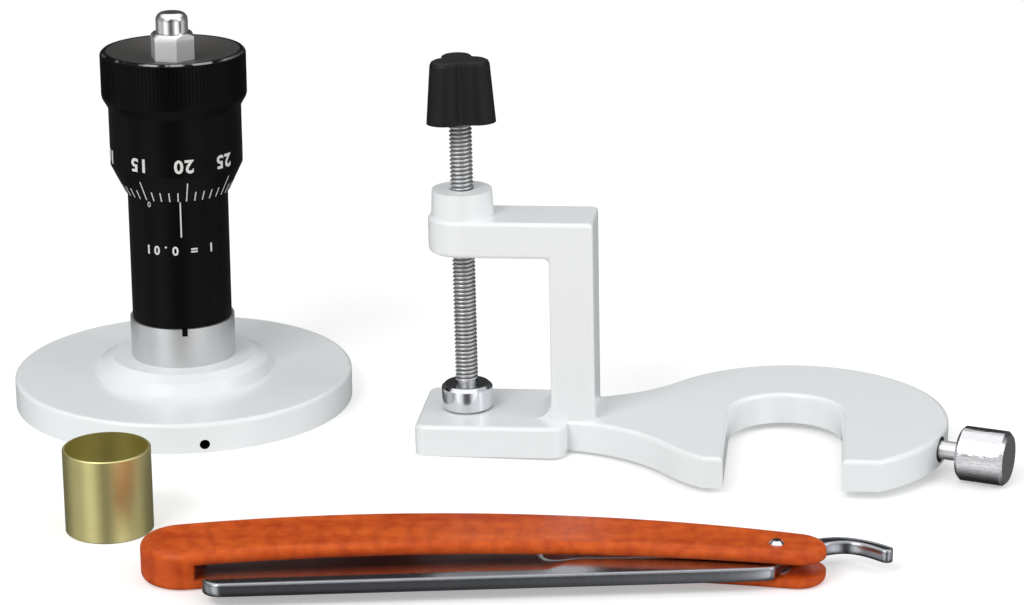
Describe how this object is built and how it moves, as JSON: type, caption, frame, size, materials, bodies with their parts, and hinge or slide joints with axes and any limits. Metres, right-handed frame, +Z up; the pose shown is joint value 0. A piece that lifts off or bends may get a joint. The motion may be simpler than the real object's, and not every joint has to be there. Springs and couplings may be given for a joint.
{
  "type": "hand microtome",
  "caption": "Hand microtome with round cutting table, graduated feed thimble and knob, with its table clamp, brass specimen tube and folding razor laid beside it.",
  "frame": {"origin": "middle of the common footprint of the four items, at the height of the surface they stand on", "axes": "+Z up along the microtome's barrel, +X along the razor towards its tail, the razor in front on the -Y side"},
  "size_m": [0.2442, 0.1766, 0.0994],
  "materials": {
    "white_paint": "smooth glossy off-white enamel",
    "bare_steel": "turned bare steel",
    "black_finish": "gloss black anodised",
    "bright_chrome": "polished chrome",
    "brass": "brushed brass",
    "black_plastic": "moulded black plastic",
    "orange_plastic": "marbled orange plastic",
    "blade_steel": "ground blade steel"
  },
  "bodies": {
    "microtome": {"cutting_table": "white_paint", "barrel": "bare_steel", "sleeve_key": "black_finish", "graduated_sleeve": "black_finish", "feed_nut": "brass", "table_set_screw": "bare_steel"},
    "piston": {"specimen_piston": "bare_steel"},
    "feed": {"feed_screw": "bare_steel", "thimble": "black_finish", "feed_knob": "black_finish", "acorn_nut": "bright_chrome", "piston_screw": "bare_steel"},
    "clamp": {"clamp_frame": "white_paint"},
    "pad": {"pressure_pad": "bright_chrome", "retaining_ring": "bare_steel"},
    "screw": {"clamp_screw": "bare_steel", "knob_insert": "bare_steel", "clamp_knob": "black_plastic"},
    "lock_rod": {"lock_screw": "bare_steel"},
    "lock_head": {"lock_knob": "bright_chrome"},
    "tube": {"brass_tube": "brass"},
    "handle": {"razor_handle": "orange_plastic", "pivot_washers": "bare_steel", "pivot_pin": "bright_chrome"},
    "blade": {"razor_blade": "blade_steel"}
  },
  "joints": [
    {"name": "piston_feed", "type": "slide", "parent": "microtome", "child": "piston", "axis": [0, 0, -1], "range_m": [0, 0.012]},
    {"name": "thimble_turn", "type": "hinge", "parent": "piston", "child": "feed", "pos_m": [-0.0794, 0.0457, 0.0761], "axis": [0, 0, -1], "range_deg": [0, 10800]},
    {"name": "clamp_lift", "type": "slide", "parent": "microtome", "child": "clamp", "axis": [0, 0, 1], "range_m": [0, 0.1]},
    {"name": "pad_travel", "type": "slide", "parent": "clamp", "child": "pad", "axis": [-0.0205, 0.0024, 0.9998], "range_m": [0, 0.032]},
    {"name": "clamp_screw_turn", "type": "hinge", "parent": "pad", "child": "screw", "pos_m": [-0.0084, 0.01567, 0.07981], "axis": [-0.0205, 0.0024, 0.9998], "range_deg": [0, 11520]},
    {"name": "lock_travel", "type": "slide", "parent": "clamp", "child": "lock_rod", "axis": [0.9016, -0.4321, 0.0195], "range_m": [-0.004, 0.008]},
    {"name": "lock_turn", "type": "hinge", "parent": "lock_rod", "child": "lock_head", "pos_m": [0.10951, -0.01236, 0.00643], "axis": [0.9016, -0.4321, 0.0195], "range_deg": [-1800, 3600]},
    {"name": "tube_lift", "type": "slide", "parent": "microtome", "child": "tube", "axis": [0, 0, 1], "range_m": [0, 0.08]},
    {"name": "razor_lift", "type": "slide", "parent": "microtome", "child": "handle", "axis": [0, 0, 1], "range_m": [0, 0.06]},
    {"name": "blade_swing", "type": "hinge", "parent": "handle", "child": "blade", "pos_m": [0.0608, -0.0723, 0.00425], "axis": [0, 0, 1], "range_deg": [0, 180]}
  ],
  "couplings": [
    {"joint": "thimble_turn", "follows": "piston_feed", "rad_per_m": 15708},
    {"joint": "clamp_screw_turn", "follows": "pad_travel", "rad_per_m": 6283.1},
    {"joint": "lock_turn", "follows": "lock_travel", "rad_per_m": 7853.9}
  ]
}
